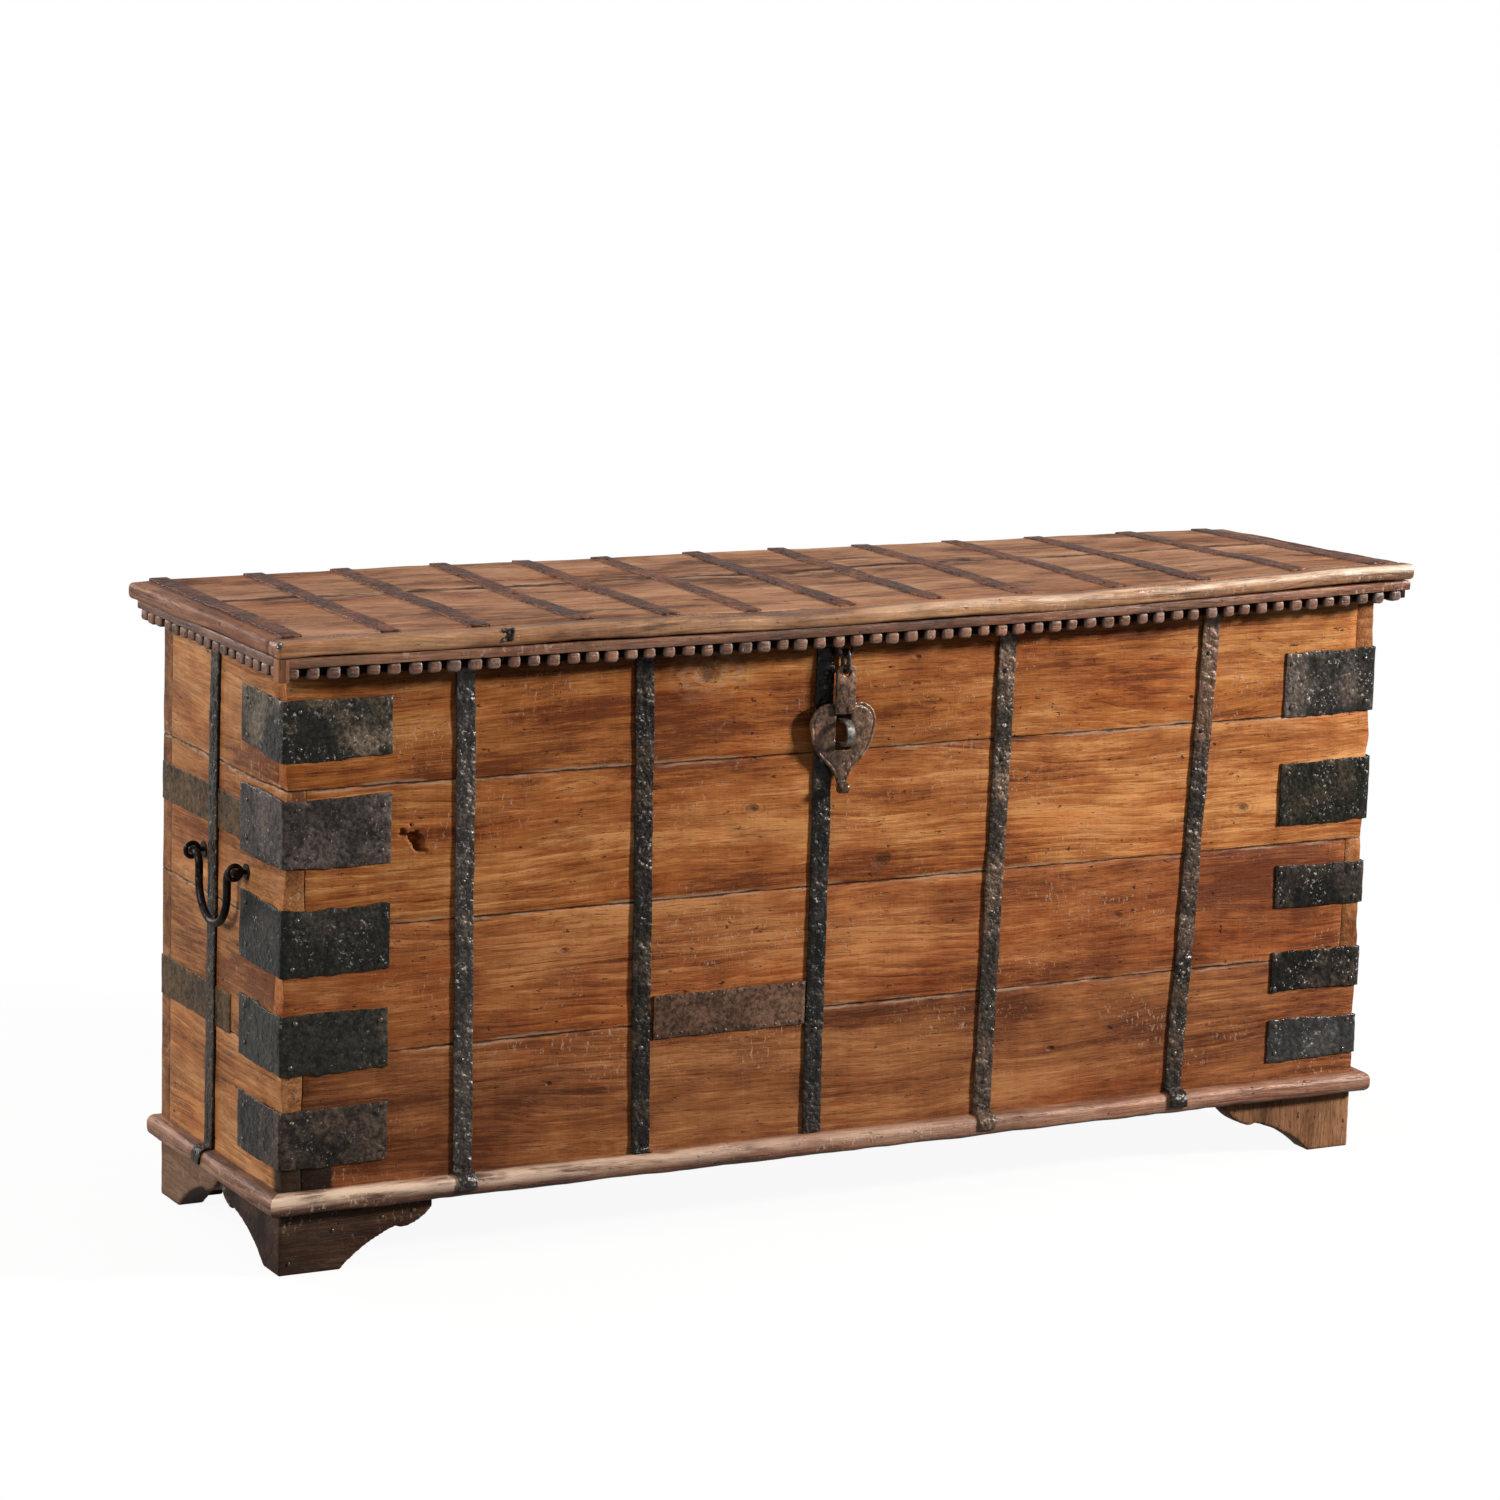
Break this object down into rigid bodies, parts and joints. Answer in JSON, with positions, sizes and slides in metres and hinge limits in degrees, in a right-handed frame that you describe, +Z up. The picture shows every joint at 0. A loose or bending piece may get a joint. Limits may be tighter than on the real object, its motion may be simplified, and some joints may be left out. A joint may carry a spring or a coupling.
{
  "type": "wooden trunk",
  "caption": "Long teak storage trunk bound with iron straps, with a dentilled hinged lid, a heart-shaped hasp, drop handles and bracket feet.",
  "frame": {"origin": "on the floor, under the middle of the trunk's overall box", "axes": "+X along the length to the viewer's right, -Y towards the front, +Z up"},
  "size_m": [1.608, 0.461, 0.7845],
  "materials": {
    "plank_wood": "old oiled teak planks, streaked grain, waxed to a low sheen",
    "lid_board_wood": "worn teak boards, dusty and dry",
    "lid_edge_wood": "teak edge strip polished by hands",
    "dentil_wood": "dark stained carved teak",
    "bead_wood": "reddish dark moulding, rubbed",
    "foot_wood": "dark brown sawn teak",
    "inner_wood": "bare unfinished wood",
    "strap_iron": "hammered iron, black and pitted with brown rust and rubbed edges",
    "brown_sheet_iron": "thin sheet iron rusted to an even brown",
    "hasp_iron": "forged iron with brown rust",
    "bright_iron": "iron strip rubbed bright"
  },
  "bodies": {
    "carcass": {"back_plank_1": "plank_wood", "back_plank_2": "plank_wood", "back_plank_3": "plank_wood", "back_plank_4": "plank_wood", "base_bead_front": "bead_wood", "base_bead_left": "bead_wood", "base_bead_right": "bead_wood", "bottom_board_back": "inner_wood", "bottom_board_front": "inner_wood", "foot_back_left": "foot_wood", "foot_back_right": "foot_wood", "foot_front_left": "foot_wood", "foot_front_right": "foot_wood", "front_patch": "brown_sheet_iron", "front_plank_1": "plank_wood", "front_plank_2": "plank_wood", "front_plank_3": "plank_wood", "front_plank_4": "plank_wood", "front_strap_1": "strap_iron", "front_strap_2": "strap_iron", "front_strap_3": "strap_iron", "front_strap_4": "strap_iron", "front_strap_5": "strap_iron", "hasp_staple": "bright_iron", "hinge_leaves": "strap_iron", "hinge_pins": "strap_iron", "left_corner_plates": "strap_iron", "left_end_bands": "brown_sheet_iron", "left_end_plank_1": "plank_wood", "left_end_plank_2": "plank_wood", "left_end_plank_3": "plank_wood", "left_end_plank_4": "plank_wood", "left_end_strap": "strap_iron", "left_handle_eyes": "strap_iron", "right_corner_plates": "strap_iron", "right_end_bands": "brown_sheet_iron", "right_end_plank_1": "plank_wood", "right_end_plank_2": "plank_wood", "right_end_plank_3": "plank_wood", "right_end_plank_4": "plank_wood", "right_end_strap": "strap_iron", "right_handle_eyes": "strap_iron"},
    "lid": {"lid_apron_front": "dentil_wood", "lid_apron_left": "dentil_wood", "lid_apron_right": "dentil_wood", "lid_battens": "inner_wood", "lid_board_back": "lid_board_wood", "lid_board_front": "lid_board_wood", "lid_edge_front": "lid_edge_wood", "lid_edge_left": "lid_edge_wood", "lid_edge_right": "lid_edge_wood", "lid_hasp_eye": "strap_iron", "lid_hinge_straps": "strap_iron", "lid_straps": "strap_iron"},
    "hasp_link": {"hasp_link": "hasp_iron"},
    "hasp": {"hasp_arm": "hasp_iron", "hasp_heart": "hasp_iron", "hasp_rivets": "hasp_iron"},
    "left_handle": {"left_handle": "strap_iron"},
    "right_handle": {"right_handle": "strap_iron"}
  },
  "joints": [
    {"name": "lid_hinge", "type": "hinge", "parent": "carcass", "child": "lid", "pos_m": [0, 0.20755, 0.75345], "axis": [-1, 0, 0], "range_deg": [0, 100]},
    {"name": "hasp_link_swing", "type": "hinge", "parent": "lid", "child": "hasp_link", "pos_m": [-0.0279, -0.1985, 0.7175], "axis": [-1, 0, 0], "range_deg": [0, 30]},
    {"name": "hasp_swing", "type": "hinge", "parent": "hasp_link", "child": "hasp", "pos_m": [-0.0279, -0.1985, 0.7045], "axis": [-1, 0, 0], "range_deg": [0, 90]},
    {"name": "left_handle_swing", "type": "hinge", "parent": "carcass", "child": "left_handle", "pos_m": [-0.791, -0.0065, 0.47592], "axis": [0, 1, 0], "range_deg": [0, 100]},
    {"name": "right_handle_swing", "type": "hinge", "parent": "carcass", "child": "right_handle", "pos_m": [0.791, -0.0065, 0.47592], "axis": [0, -1, 0], "range_deg": [0, 100]}
  ]
}
